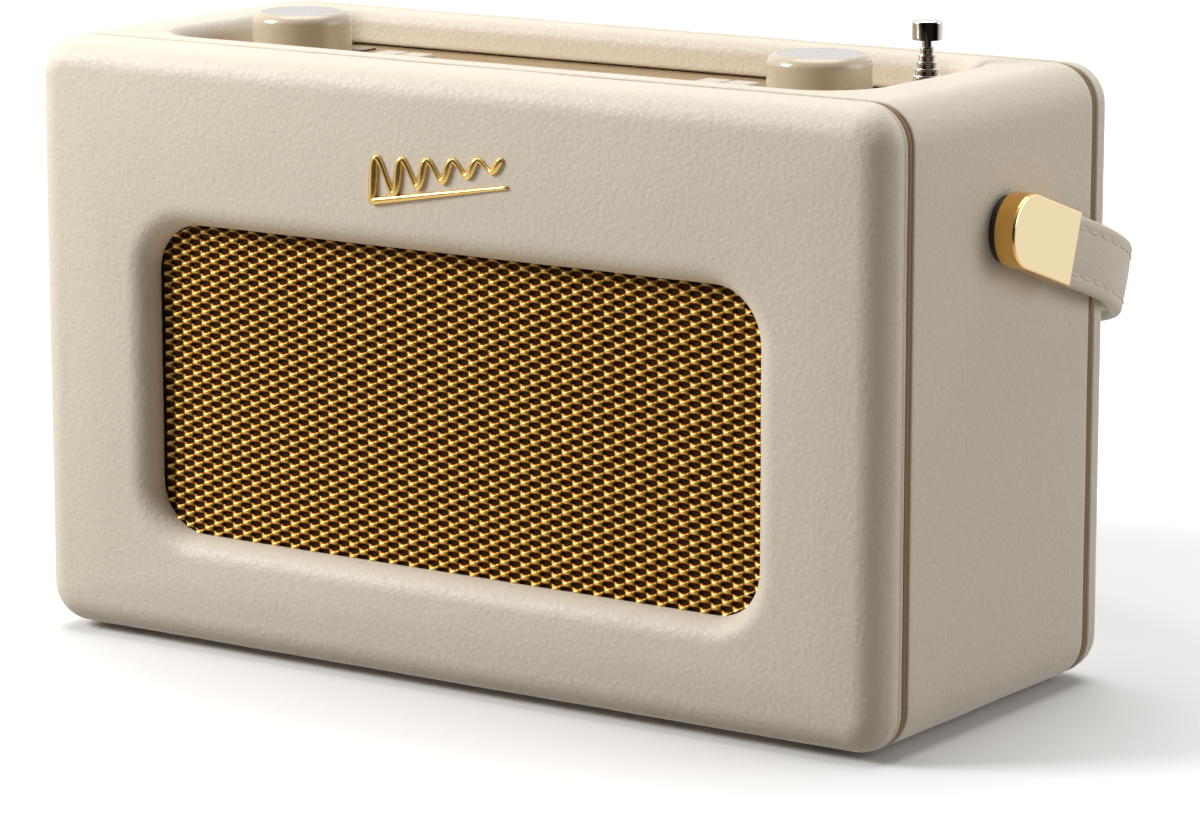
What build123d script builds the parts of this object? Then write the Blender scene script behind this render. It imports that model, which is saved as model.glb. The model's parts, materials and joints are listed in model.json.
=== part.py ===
"""Portable radio in padded cream leathercloth, with a strap handle and a telescopic aerial.

Millimetres. +X is the radio's right as one faces it, +Y goes to its back, +Z is up.
The origin is the centre of the cabinet's underside. The four feet reach a little below it.
"""
from build123d import *
import math
import os

# ---------------------------------------------------------------- cabinet
BODY_W = 252.0           # outside width
BODY_D = 108.0           # outside depth
BODY_H = 152.0           # outside height, without the feet
OUTLINE_R = 10.3         # corners of the front outline
EDGE_R = 8.5             # rounding of the front and rear edges
FRAME_T = 9.9            # padded front and rear frames
SEAM_W = 2.4             # groove between each frame and the sleeve
WRAP_T = 1.5             # leathercloth of the sleeve
BOARD_T = 10.0           # cabinet boards

FRONT_Y = -BODY_D / 2
REAR_Y = BODY_D / 2
SHELL_Y = REAR_Y - FRAME_T           # where the boards meet the frames
SLEEVE_Y = SHELL_Y - SEAM_W
TOP_Z = BODY_H
MID_Z = BODY_H / 2
BOARD_W = BODY_W - 2 * WRAP_T
BOARD_H = BODY_H - 2 * WRAP_T
ROOM_W = BOARD_W - 2 * BOARD_T       # room inside the boards
ROOM_H = BOARD_H - 2 * BOARD_T
ROOM_TOP = MID_Z + ROOM_H / 2
ROOM_BASE = MID_Z - ROOM_H / 2

# ---------------------------------------------------------------- speaker window
WINDOW_W = 180.0
WINDOW_H = 79.0
WINDOW_R = 13.0
WINDOW_Z = 67.2
ROLL_R = 6.5             # soft roll round the window
LIP_T = 6.8              # frame in front of the grille
REBATE = 3.5             # how far the grille reaches behind the roll
GRILLE_T = 0.8
CLOTH_T = 0.5
BAFFLE_T = 8.0
BAFFLE_TOP = 137.0
BAFFLE_GAP = 0.3
SPEAKER_X = 46.0
SPEAKER_CUT_R = 34.0

# ---------------------------------------------------------------- rear
REAR_WINDOW_W = 214.0
REAR_WINDOW_H = 116.0
REAR_WINDOW_R = 10.0
REAR_ROLL_R = 3.0
REAR_PANEL_T = 3.0
REAR_RECESS = 4.0        # rear panel behind the rear plane
DOOR_W = 96.0
DOOR_H = 44.0
DOOR_Z = 42.5
DOOR_GAP = 0.4
DOOR_R = 1.0             # small, so that the lower corners clear the panel as the door swings
HINGE_PIN_R = 1.2
HINGE_CLEAR = 0.06
BATTERY_W = 72.0
BATTERY_H = 21.0
BATTERY_D = 20.0
BAY_WALL = 2.0
SOCKET_Z = 110.5
POWER_X = -40.0
AUDIO_X = (18.0, 40.0)

# ---------------------------------------------------------------- well and controls
WELL_W = 204.0
WELL_D = 69.5
WELL_Y = 2.25            # the well sits a little towards the back
WELL_R = 14.0
WELL_ROLL_R = 4.2
PANEL_T = 1.2
PANEL_TOP = 142.7
PANEL_Z = PANEL_TOP - PANEL_T
TRAY_FLANGE = 3.0
MAIN_BOARD_Z = 130.5
MAIN_BOARD_T = 1.6
MAIN_BOARD_X = 102.0
MAIN_BOARD_FRONT = -34.0
MAIN_BOARD_REAR = 18.0   # clear of the aerial

CONTROL_Y = -4.7         # line of the knobs, buttons and display
KNOB_X = 77.5
KNOB_R = 12.65
KNOB_TOP = 156.2
KNOB_GAP = 0.8           # knob above the panel
KNOB_EDGE_R = 2.6
DISC_T = 0.8
SHAFT_R = 3.0
SHAFT_CLEAR = 0.05
ENCODER_W = 13.0
ENCODER_H = 5.0
ROTOR_R = 5.0

BUTTON_W = 7.5
BUTTON_PITCH = 7.9
BUTTON_X = 48.6          # centre of each group of four
BUTTON_TOP = 147.0
SWITCH_W = 6.0

DISPLAY_W = 66.0
DISPLAY_D = 14.0
STATUS_X = -84.0
STATUS_Y = 27.2
STATUS_W = 8.0
STATUS_D = 6.4

# ---------------------------------------------------------------- aerial
AERIAL_X = 90.0
AERIAL_Y = 24.0
AERIAL_R = 3.7           # outer tube
AERIAL_STEP = 0.4        # each section is this much smaller in radius
AERIAL_CLEAR = 0.05
AERIAL_SECTIONS = 5      # sliding tubes between the outer tube and the rod
AERIAL_TOP = 147.2       # mouth of the outer tube
AERIAL_RISE = 1.7        # each mouth above the last, pushed in
AERIAL_L = 112.0
TIP_R = 3.8
TIP_BASE = 157.5
TIP_TOP = 162.2

# ---------------------------------------------------------------- handle
PIVOT_Z = 117.8
HANDLE_TILT = 18.2       # degrees below level at rest
STRAP_W = 17.5
STRAP_T = 3.2
STRAP_X = 132.0          # outer face of the strap beside the cabinet
STRAP_STRAIGHT = 33.5    # from the pivot to the first bend
STRAP_BEND_R = 76.0
STRAP_BEND = 47.0        # degrees
TONGUE_W = 16.0          # strap end inside the fitting
TONGUE_START = 10.0
FITTING_IN = 128.2
FITTING_OUT = 133.5
FITTING_W = 18.0
FITTING_L = 22.3
PIN_R = 3.0
PIN_CLEAR = 0.05
PIN_IN = 108.5
BUSH_R = 5.0
BUSH_IN = 112.0
WASHER_R = 8.0
WASHER_OUT = 127.9
NUT_R = 5.5
NUT_T = 3.3

# ---------------------------------------------------------------- badge and feet
BADGE_X = 0.7
BADGE_Z = 127.5
BADGE_W = 41.0
BADGE_TILT = 9.5
BADGE_T = 1.2
BADGE_LINE = 1.4
BADGE_WAVES = 5.5
BADGE_RISE = 5.5         # first swing of the wave
BADGE_DECAY = 1.5        # how fast the swings die away
FOOT_R = 7.0
FOOT_H = 1.5             # how far the feet hold the cabinet up
FOOT_CLEAR = 0.2         # round each foot in the leathercloth
FOOT_X = 104.0
FOOT_Y = 36.0
SCREW_R = 1.5
SCREW_HEAD_R = 2.9

NODES = {}


# ---------------------------------------------------------------- helpers
def slab_y(outline, y0, y1):
    """Run an outline drawn with x to the right and z up from y0 back to y1."""
    plane = Plane(origin=(0, y1, 0), x_dir=(1, 0, 0), z_dir=(0, -1, 0))
    return extrude(plane * outline, y1 - y0)


def slab_z(outline, z0, z1):
    """Run a plan outline from z0 up to z1."""
    return extrude(Pos(0, 0, z0) * outline, z1 - z0)


def rod_x(radius, x0, x1, y, z):
    """Round bar along X."""
    low, high = min(x0, x1), max(x0, x1)
    return Pos((low + high) / 2, y, z) * Rot(0, 90, 0) * Cylinder(radius, high - low)


def rod_y(radius, y0, y1, x, z):
    """Round bar along Y."""
    return Pos(x, (y0 + y1) / 2, z) * Rot(90, 0, 0) * Cylinder(radius, y1 - y0)


def rod_z(radius, z0, z1, x=0.0, y=0.0):
    """Round bar along Z."""
    return Pos(x, y, (z0 + z1) / 2) * Cylinder(radius, z1 - z0)


def block(x0, x1, y0, y1, z0, z1):
    """Box between two corners."""
    return Pos((x0 + x1) / 2, (y0 + y1) / 2, (z0 + z1) / 2) * Box(x1 - x0, y1 - y0, z1 - z0)


def front_outline(width, height, corner, x=0.0, z=MID_Z):
    """Rounded rectangle seen from the front."""
    return Pos(x, z) * RectangleRounded(width, height, corner)


def plan_outline(width, depth, corner, x=0.0, y=0.0):
    """Rounded rectangle seen from above."""
    return Pos(x, y) * RectangleRounded(width, depth, corner)


def frontmost(solid):
    return solid.faces().sort_by(Axis.Y)[0]


def rearmost(solid):
    return solid.faces().sort_by(Axis.Y)[-1]


# ---------------------------------------------------------------- cabinet
def make_front_frame():
    """Padded ring round the speaker window, with a rebate for the grille."""
    frame = slab_y(front_outline(BODY_W, BODY_H, OUTLINE_R), FRONT_Y, -SHELL_Y)
    frame = fillet(frontmost(frame).edges(), EDGE_R)
    window = front_outline(WINDOW_W, WINDOW_H, WINDOW_R, z=WINDOW_Z)
    frame -= slab_y(window, FRONT_Y - 1, -SHELL_Y + 1)
    frame = fillet(frontmost(frame).inner_wires()[0].edges(), ROLL_R)
    rebate = front_outline(
        WINDOW_W + 2 * REBATE, WINDOW_H + 2 * REBATE, WINDOW_R + REBATE, z=WINDOW_Z
    )
    frame -= slab_y(rebate, FRONT_Y + LIP_T, -SHELL_Y + 1)
    NODES["front_frame"] = frame


def make_rear_frame():
    """Padded ring round the rear panel, which screws into its rebate."""
    frame = slab_y(front_outline(BODY_W, BODY_H, OUTLINE_R), SHELL_Y, REAR_Y)
    frame = fillet(rearmost(frame).edges(), EDGE_R)
    window = front_outline(REAR_WINDOW_W, REAR_WINDOW_H, REAR_WINDOW_R)
    frame -= slab_y(window, SHELL_Y - 1, REAR_Y + 1)
    NODES["rear_frame"] = fillet(rearmost(frame).inner_wires()[0].edges(), REAR_ROLL_R)


def well_cut(grow):
    """The well's opening in the top, grown outwards, as a cutter."""
    outline = plan_outline(WELL_W + 2 * grow, WELL_D + 2 * grow, WELL_R + grow, y=WELL_Y)
    return slab_z(outline, ROOM_TOP - 1, TOP_Z + 1)


def make_boards():
    """Four boards that make the box, with the well's opening in the top one."""
    ring = slab_y(front_outline(BOARD_W, BOARD_H, OUTLINE_R - WRAP_T), -SHELL_Y, SHELL_Y)
    ring -= slab_y(front_outline(ROOM_W, ROOM_H, 0.5), -BODY_D, BODY_D)
    ring -= well_cut(WRAP_T)
    rim = ring.faces().filter_by(Axis.Z).sort_by(Axis.Z)[-1]
    ring = fillet(rim.inner_wires()[0].edges(), WELL_ROLL_R - WRAP_T)
    side = block(ROOM_W / 2, BODY_W, -BODY_D, BODY_D, -BODY_H, 2 * BODY_H)
    middle = block(-ROOM_W / 2, ROOM_W / 2, -BODY_D, BODY_D, 0, TOP_Z)
    upper = block(-BODY_W, BODY_W, -BODY_D, BODY_D, MID_Z, TOP_Z)
    lower = block(-BODY_W, BODY_W, -BODY_D, BODY_D, 0, MID_Z)
    for sign, name in ((-1, "left"), (1, "right")):
        board = ring & (side if sign > 0 else mirror(side, Plane.YZ))
        board -= rod_x(BUSH_R, sign * (ROOM_W / 2 - 1), sign * BODY_W / 2, 0, PIVOT_Z)
        NODES[f"side_board_{name}"] = board
    NODES["top_board"] = ring & middle & upper
    base = ring & middle & lower
    for x, y in foot_places():
        base -= rod_z(SCREW_R, 0, ROOM_BASE, x, y)
    NODES["bottom_board"] = base


def make_sleeve():
    """Leathercloth round the four boards, turned down into the well."""
    sleeve = slab_y(front_outline(BODY_W, BODY_H, OUTLINE_R), -SLEEVE_Y, SLEEVE_Y)
    sleeve -= well_cut(0)
    rim = sleeve.faces().filter_by(Axis.Z).sort_by(Axis.Z)[-1]
    sleeve = fillet(rim.inner_wires()[0].edges(), WELL_ROLL_R)
    core = slab_y(front_outline(BOARD_W, BOARD_H, OUTLINE_R - WRAP_T), -BODY_D, BODY_D)
    core -= well_cut(WRAP_T)
    rim = core.faces().filter_by(Axis.Z).sort_by(Axis.Z)[-1]
    core = fillet(rim.inner_wires()[0].edges(), WELL_ROLL_R - WRAP_T)
    core += block(-ROOM_W / 2, ROOM_W / 2, -SLEEVE_Y, SLEEVE_Y, ROOM_BASE, ROOM_TOP)
    sleeve -= core
    for sign in (-1, 1):
        sleeve -= rod_x(BUSH_R, sign * BOARD_W / 2 - sign, sign * (BODY_W / 2 + 1), 0, PIVOT_Z)
    for x, y in foot_places():
        sleeve -= rod_z(FOOT_R + FOOT_CLEAR, -1, WRAP_T, x, y)
    NODES["sleeve_cover"] = sleeve


def make_baffle():
    """Board that carries both speakers, with a raised face that backs the grille cloth."""
    width = ROOM_W - 2 * BAFFLE_GAP
    low = ROOM_BASE + BAFFLE_GAP
    baffle = block(-width / 2, width / 2, -SHELL_Y, -SHELL_Y + BAFFLE_T, low, BAFFLE_TOP)
    raised = front_outline(
        WINDOW_W + 2 * REBATE - 1, WINDOW_H + 2 * REBATE - 1, WINDOW_R + REBATE - 0.5, z=WINDOW_Z
    )
    baffle += slab_y(raised, FRONT_Y + LIP_T + GRILLE_T + CLOTH_T, -SHELL_Y)
    for sign in (-1, 1):
        baffle -= rod_y(SPEAKER_CUT_R, FRONT_Y, 0, sign * SPEAKER_X, WINDOW_Z)
    NODES["front_baffle"] = baffle


def make_grille():
    """Mesh sheet and the dark cloth behind it."""
    width = WINDOW_W + 2 * REBATE - 0.6
    height = WINDOW_H + 2 * REBATE - 0.6
    sheet = front_outline(width, height, WINDOW_R + REBATE - 0.3, z=WINDOW_Z)
    face = FRONT_Y + LIP_T
    NODES["speaker_grille"] = slab_y(sheet, face, face + GRILLE_T)
    NODES["grille_cloth"] = slab_y(sheet, face + GRILLE_T, face + GRILLE_T + CLOTH_T)


# ---------------------------------------------------------------- speakers
def revolve_driver(profile, sign):
    """Turn a profile drawn as (radius, depth behind the baffle) about a speaker's axis."""
    solid = revolve(Plane.XZ * profile, Axis.Z)
    turned = Rot(-90, 0, 0) * solid
    return Pos(sign * SPEAKER_X, -SHELL_Y + BAFFLE_T, WINDOW_Z) * turned


def make_speakers():
    """Two full-range drivers: pressed basket, ring magnet, and cone with surround and dust cap."""
    flange_r, throat_r, depth, wall = 39.0, 15.0, 24.0, 1.2
    shell = Polygon(
        (30.0, 0), (flange_r, 0), (flange_r, 2.0), (32.5, 2.0), (22.0, depth - wall), (22.0, depth),
        (throat_r, depth), (throat_r, depth - wall), (21.0, depth - wall), (31.0, 2.0),
        (30.0, 2.0), align=None,
    )
    magnet = Polygon(
        (7.0, depth + 0.05), (22.5, depth + 0.05), (22.5, depth + 11), (7.0, depth + 11), align=None
    )
    cone = Polygon(
        (0, 11.2), (6.5, 14.0), (7.2, 14.0), (27.5, 1.2), (30.0, -0.8), (33.0, -1.4), (33.0, -2.0),
        (29.7, -1.6), (26.8, 0.6), (7.5, 12.6), (4.0, 10.9), (0, 10.4), align=None,
    )
    window_w, window_h = 14.0, 16.0
    for name, profile in (("basket", shell), ("magnet", magnet), ("cone", cone)):
        pair = []
        for sign in (-1, 1):
            driver = revolve_driver(profile, sign)
            if name == "basket":
                y = -SHELL_Y + BAFFLE_T + depth / 2
                for turn in range(2):
                    hole = Pos(sign * SPEAKER_X, y, WINDOW_Z) * Rot(0, 45 + 90 * turn, 0)
                    driver -= hole * Box(4 * SPEAKER_CUT_R, window_h, window_w)
            pair.append(driver)
        NODES[f"speaker_{name}s"] = pair


# ---------------------------------------------------------------- rear panel, battery, sockets
def door_outline(grow):
    return front_outline(DOOR_W + 2 * grow, DOOR_H + 2 * grow, DOOR_R + grow, z=DOOR_Z)


def rear_screw_places():
    """Six screws round the rear panel."""
    x = REAR_WINDOW_W / 2 - 8
    z = REAR_WINDOW_H / 2 - 8
    return [(i * x, MID_Z + j * z) for i in (-1, 1) for j in (-1, 0, 1)]


def make_rear_panel():
    """Moulded panel with the battery opening, vents and socket holes."""
    outer = REAR_Y - REAR_RECESS
    inner = outer - REAR_PANEL_T
    panel = slab_y(
        front_outline(REAR_WINDOW_W - 0.4, REAR_WINDOW_H - 0.4, REAR_WINDOW_R - 0.2), inner, outer
    )
    panel -= slab_y(door_outline(DOOR_GAP), inner - 1, outer + 1)
    panel -= rod_y(3.6, inner - 1, outer + 1, POWER_X, SOCKET_Z)
    for x in AUDIO_X:
        panel -= rod_y(2.9, inner - 1, outer + 1, x, SOCKET_Z)
    for x, z in rear_screw_places():
        panel -= rod_y(SCREW_R, inner - 1, outer + 1, x, z)
    slot_w, slot_h, slot_pitch, slots = 2.0, 26.0, 5.0, 5
    for sign in (-1, 1):
        for i in range(slots):
            x = sign * (70 + i * slot_pitch)
            slot = front_outline(slot_w, slot_h, slot_w / 2 - 0.01, x=x, z=MID_Z + 6)
            panel -= slab_y(slot, inner - 1, outer + 1)
    hinge_z = DOOR_Z - DOOR_H / 2 + 2 * HINGE_PIN_R
    hinge_y = outer - 1.5
    for sign in (-1, 1):
        pin_end = sign * (DOOR_W / 2 + DOOR_GAP)
        panel -= rod_x(
            HINGE_PIN_R + HINGE_CLEAR, pin_end - sign, pin_end + sign * 3.0, hinge_y, hinge_z
        )
    NODES["rear_panel"] = panel


def make_battery_door():
    """Door over the battery bay, hinged on two stub pins near its lower edge."""
    outer = REAR_Y - REAR_RECESS
    door = slab_y(door_outline(0), outer - 2.6, outer)
    hinge_z = DOOR_Z - DOOR_H / 2 + 2 * HINGE_PIN_R
    hinge_y = outer - 1.5
    lower_edge = DOOR_Z - DOOR_H / 2
    swing_room = block(-DOOR_W, DOOR_W, outer - 2.7, outer + 1, 0, lower_edge + 1.0)
    door -= swing_room
    door += rod_x(HINGE_PIN_R, -DOOR_W / 2 - DOOR_GAP - 2.6, DOOR_W / 2 + DOOR_GAP + 2.6, hinge_y, hinge_z)
    ridge_pitch, ridges = 2.6, 4
    for i in range(ridges):
        z = DOOR_Z + DOOR_H / 2 - 6 - i * ridge_pitch
        door += slab_y(front_outline(18, 1.0, 0.49, z=z), outer - 0.5, outer + 0.6)
    NODES["battery_door"] = door


def make_battery():
    """Open-backed bay behind the door, and the pack in it."""
    inner = REAR_Y - REAR_RECESS - REAR_PANEL_T
    depth = BATTERY_D + 6
    half_w = DOOR_W / 2 - 4
    low = DOOR_Z - DOOR_H / 2 + 6
    high = DOOR_Z + DOOR_H / 2 - 2
    bay = block(
        -half_w - BAY_WALL, half_w + BAY_WALL, inner - depth - BAY_WALL, inner, low - BAY_WALL,
        high + BAY_WALL,
    )
    bay -= block(-half_w, half_w, inner - depth, inner + 1, low, high)
    NODES["battery_bay"] = bay
    cell_r = BATTERY_H / 2 - 0.6
    pack = block(
        -BATTERY_W / 2, BATTERY_W / 2, inner - depth + 1, inner - depth + 1 + BATTERY_D, low + 0.1,
        low + 0.1 + BATTERY_H,
    )
    NODES["battery_pack"] = fillet(pack.edges().filter_by(Axis.X), cell_r * 0.8)


def make_rear_sockets():
    """Circuit board behind the rear panel, with a power inlet and two audio sockets."""
    inner = REAR_Y - REAR_RECESS - REAR_PANEL_T
    board_y = inner - 13.0
    NODES["socket_board"] = block(
        POWER_X - 10, AUDIO_X[1] + 10, board_y - MAIN_BOARD_T, board_y, SOCKET_Z - 12, SOCKET_Z + 12
    )
    power = block(POWER_X - 4.5, POWER_X + 4.5, board_y, inner, SOCKET_Z - 5.5, SOCKET_Z + 5.5)
    power += rod_y(3.5, inner - 1, inner + 2, POWER_X, SOCKET_Z)
    power -= rod_y(3.1, inner - 9, inner + 3, POWER_X, SOCKET_Z)
    power += rod_y(1.0, inner - 9.5, inner + 1, POWER_X, SOCKET_Z)
    sockets = [power]
    for x in AUDIO_X:
        jack = block(x - 3.5, x + 3.5, board_y, inner, SOCKET_Z - 3, SOCKET_Z + 3)
        jack += rod_y(2.8, inner - 1, inner + 2, x, SOCKET_Z)
        jack -= rod_y(1.8, board_y + 1, inner + 3, x, SOCKET_Z)
        sockets.append(jack)
    NODES["rear_sockets"] = sockets


# ---------------------------------------------------------------- control panel
def button_centres():
    """Centres of the eight buttons: two groups of four, beside the display."""
    half = BUTTON_PITCH / 2
    return [
        (name, side * BUTTON_X + i * half, CONTROL_Y + j * half)
        for side, name in ((-1, "left"), (1, "right"))
        for j in (-1, 1)
        for i in (-1, 1)
    ]


def cut_panel_openings(plate, z0, z1, shaft_hole):
    """Cut the openings that the panel and the tray under it share."""
    group = 2 * BUTTON_PITCH - 0.1
    for sign in (-1, 1):
        plate -= slab_z(plan_outline(group, group, 1.6, sign * BUTTON_X, CONTROL_Y), z0, z1)
        plate -= rod_z(shaft_hole, z0, z1, sign * KNOB_X, CONTROL_Y)
    window = plan_outline(DISPLAY_W + 0.4, DISPLAY_D + 0.4, 2.2, y=CONTROL_Y)
    plate -= slab_z(window, z0, z1)
    plate -= slab_z(plan_outline(STATUS_W + 0.2, STATUS_D + 0.2, 0.8, STATUS_X, STATUS_Y), z0, z1)
    plate -= rod_z(AERIAL_R + 0.3, z0, z1, AERIAL_X, AERIAL_Y)
    return plate


def make_control_panel():
    """Brass panel at the bottom of the well, on a moulded tray."""
    outline = plan_outline(WELL_W - 0.2, WELL_D - 0.2, WELL_R - 0.1, y=WELL_Y)
    panel = slab_z(outline, PANEL_Z, PANEL_TOP)
    NODES["control_panel"] = cut_panel_openings(panel, PANEL_Z - 1, TOP_Z, 4.2)
    flange = plan_outline(WELL_W + 14, WELL_D + 6, WELL_R, y=WELL_Y)
    tray = slab_z(flange, ROOM_TOP - TRAY_FLANGE, ROOM_TOP)
    deck = plan_outline(WELL_W - 0.4, WELL_D - 0.4, WELL_R - 0.2, y=WELL_Y)
    tray += slab_z(deck, ROOM_TOP, PANEL_Z)
    post_x, post_y = 96.0, -30.0
    for x, y in ((-post_x, post_y), (post_x, post_y), (-post_x, -post_y / 2), (0, post_y)):
        tray += rod_z(3.0, MAIN_BOARD_Z + MAIN_BOARD_T, ROOM_TOP - TRAY_FLANGE, x, y)
    NODES["control_tray"] = cut_panel_openings(tray, MAIN_BOARD_Z - 1, TOP_Z, 3.8)


def make_display():
    """Clear window flush with the panel, and the display module under it."""
    NODES["display_window"] = slab_z(
        plan_outline(DISPLAY_W, DISPLAY_D, 2.0, y=CONTROL_Y), ROOM_TOP - 0.8, PANEL_TOP + 0.2
    )
    half_w, half_d = DISPLAY_W / 2 - 1, DISPLAY_D / 2 - 1
    NODES["display_module"] = block(
        -half_w, half_w, CONTROL_Y - half_d, CONTROL_Y + half_d, MAIN_BOARD_Z + MAIN_BOARD_T,
        ROOM_TOP - 0.8,
    )
    NODES["status_window"] = slab_z(
        plan_outline(STATUS_W, STATUS_D, 0.7, STATUS_X, STATUS_Y), ROOM_TOP - 1, PANEL_TOP + 0.4
    )


def make_main_board():
    """Main circuit board under the tray, clear of the aerial, with the button switches."""
    low, high = MAIN_BOARD_Z, MAIN_BOARD_Z + MAIN_BOARD_T
    NODES["main_board"] = block(
        -MAIN_BOARD_X, MAIN_BOARD_X, MAIN_BOARD_FRONT, MAIN_BOARD_REAR, low, high
    )
    switch_top = BUTTON_TOP - 11.0
    switches = []
    for _, x, y in button_centres():
        switch = Pos(x, y, (high + switch_top) / 2) * Box(SWITCH_W, SWITCH_W, switch_top - high)
        switches.append(switch + rod_z(1.6, switch_top, switch_top + 0.4, x, y))
    NODES["button_switches"] = switches


def make_encoders():
    """Rotary controls: housing on the board, rotor in it, and the shaft that slides through."""
    base = MAIN_BOARD_Z + MAIN_BOARD_T
    top = base + ENCODER_H
    housings = []
    for sign, name in ((-1, "left"), (1, "right")):
        place = (sign * KNOB_X, CONTROL_Y)
        housing = Pos(*place, base + ENCODER_H / 2) * Box(ENCODER_W, ENCODER_W, ENCODER_H)
        housing += rod_z(3.6, top, PANEL_Z, *place)
        housing -= rod_z(SHAFT_R + SHAFT_CLEAR, base + 0.8, PANEL_TOP, *place)
        housing -= rod_z(ROTOR_R + SHAFT_CLEAR, base + 1.8, base + 3.6, *place)
        housings.append(housing)
        rotor = rod_z(ROTOR_R, base + 1.9, base + 3.5, *place)
        NODES[f"encoder_rotor_{name}"] = rotor - rod_z(SHAFT_R + SHAFT_CLEAR, base, top, *place)
        NODES[f"knob_shaft_{name}"] = rod_z(SHAFT_R, base + 1.4, KNOB_TOP - 4, *place)
    NODES["encoder_housings"] = housings


def make_knobs():
    """Round knobs with a metal disc let into the top."""
    for sign, name in ((-1, "left"), (1, "right")):
        place = (sign * KNOB_X, CONTROL_Y)
        knob = rod_z(KNOB_R, PANEL_TOP + KNOB_GAP, KNOB_TOP, *place)
        knob = fillet(knob.edges().sort_by(Axis.Z)[-1], KNOB_EDGE_R)
        lower = knob.edges().filter_by(GeomType.CIRCLE).sort_by(Axis.Z)[0]
        knob = fillet(lower, 0.5)
        knob -= rod_z(KNOB_R - 1.8, PANEL_TOP, PANEL_TOP + KNOB_GAP + 4.0, *place)
        knob += rod_z(SHAFT_R + 1.8, PANEL_TOP + KNOB_GAP + 0.4, KNOB_TOP - 5, *place)
        knob -= rod_z(SHAFT_R, PANEL_TOP, KNOB_TOP - 4, *place)
        disc_r = KNOB_R - KNOB_EDGE_R
        knob -= rod_z(disc_r, KNOB_TOP - DISC_T, KNOB_TOP + 1, *place)
        disc = rod_z(disc_r, KNOB_TOP - DISC_T, KNOB_TOP, *place)
        NODES[f"knob_{name}"] = knob
        NODES[f"knob_disc_{name}"] = fillet(disc.edges().sort_by(Axis.Z)[-1], 0.25)


def make_buttons():
    """Eight square push buttons, each with a plunger over its switch."""
    counts = {"left": 0, "right": 0}
    plunger_base = BUTTON_TOP - 10.0
    skirt = ROOM_TOP - 1.2
    for name, x, y in button_centres():
        counts[name] += 1
        cap = slab_z(plan_outline(BUTTON_W, BUTTON_W, 1.1, x, y), skirt, BUTTON_TOP)
        cap = fillet(cap.faces().sort_by(Axis.Z)[-1].edges(), 0.8)
        cap += rod_z(1.6, plunger_base, skirt, x, y)
        NODES[f"button_{name}_{counts[name]}"] = cap


# ---------------------------------------------------------------- aerial
def make_aerial():
    """Telescopic aerial, pushed in: outer tube, sliding sections, rod and tip."""
    def tube(radius, bore, low, high):
        solid = rod_z(radius, low, high, AERIAL_X, AERIAL_Y)
        return solid - rod_z(bore, low - 1, high + 1, AERIAL_X, AERIAL_Y)

    for i in range(AERIAL_SECTIONS + 1):
        radius = AERIAL_R - i * AERIAL_STEP
        bore = radius - AERIAL_STEP + AERIAL_CLEAR
        high = AERIAL_TOP + i * AERIAL_RISE
        name = "aerial_tube" if i == 0 else f"aerial_section_{i}"
        NODES[name] = tube(radius, bore, high - AERIAL_L, high)
    rod_r = AERIAL_R - (AERIAL_SECTIONS + 1) * AERIAL_STEP
    rod_base = AERIAL_TOP + (AERIAL_SECTIONS + 1) * AERIAL_RISE - AERIAL_L
    NODES["aerial_rod"] = rod_z(rod_r, rod_base, TIP_BASE + 1.5, AERIAL_X, AERIAL_Y)
    tip = rod_z(TIP_R, TIP_BASE, TIP_TOP, AERIAL_X, AERIAL_Y)
    tip -= rod_z(rod_r, TIP_BASE - 1, TIP_BASE + 1.5, AERIAL_X, AERIAL_Y)
    tip_edges = tip.edges().filter_by(GeomType.CIRCLE).sort_by(Axis.Z)
    NODES["aerial_tip"] = fillet(tip_edges[-1], 0.6)
    clamp = block(
        AERIAL_X - 8, AERIAL_X + 8, AERIAL_Y - 6, AERIAL_Y + 6, ROOM_TOP - TRAY_FLANGE - 6,
        ROOM_TOP - TRAY_FLANGE,
    )
    NODES["aerial_clamp"] = clamp - rod_z(AERIAL_R, 0, TOP_Z, AERIAL_X, AERIAL_Y)


# ---------------------------------------------------------------- handle
def handle_plane():
    """Plane of the handle at rest: local x across the radio, local y from the pivot to the strap."""
    tilt = math.radians(HANDLE_TILT)
    return Plane(
        origin=(0, 0, PIVOT_Z), x_dir=(1, 0, 0), z_dir=(0, math.sin(tilt), math.cos(tilt))
    )


def make_strap():
    """Leather strap: straight beside the cabinet, then one wide arch behind it."""
    plane = handle_plane()
    centre_x = STRAP_X - STRAP_T / 2
    straight = Line((centre_x, FITTING_L), (centre_x, STRAP_STRAIGHT))
    bend = JernArc(straight @ 1, (0, 1), STRAP_BEND_R, STRAP_BEND)
    arch_r = (bend @ 1).X / math.cos(math.radians(STRAP_BEND))
    arch = JernArc(bend @ 1, bend % 1, arch_r, 90 - STRAP_BEND)
    half = Curve() + [straight, bend, arch]
    band = trace(half, STRAP_T)
    band += mirror(band, Plane.YZ)
    strap = extrude(plane * band, STRAP_W / 2, both=True)
    for sign in (-1, 1):
        tongue = Pos(sign * centre_x, (TONGUE_START + FITTING_L) / 2) * Rectangle(
            STRAP_T, FITTING_L - TONGUE_START
        )
        strap += extrude(plane * tongue, TONGUE_W / 2, both=True)
    NODES["handle_strap"] = strap


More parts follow.
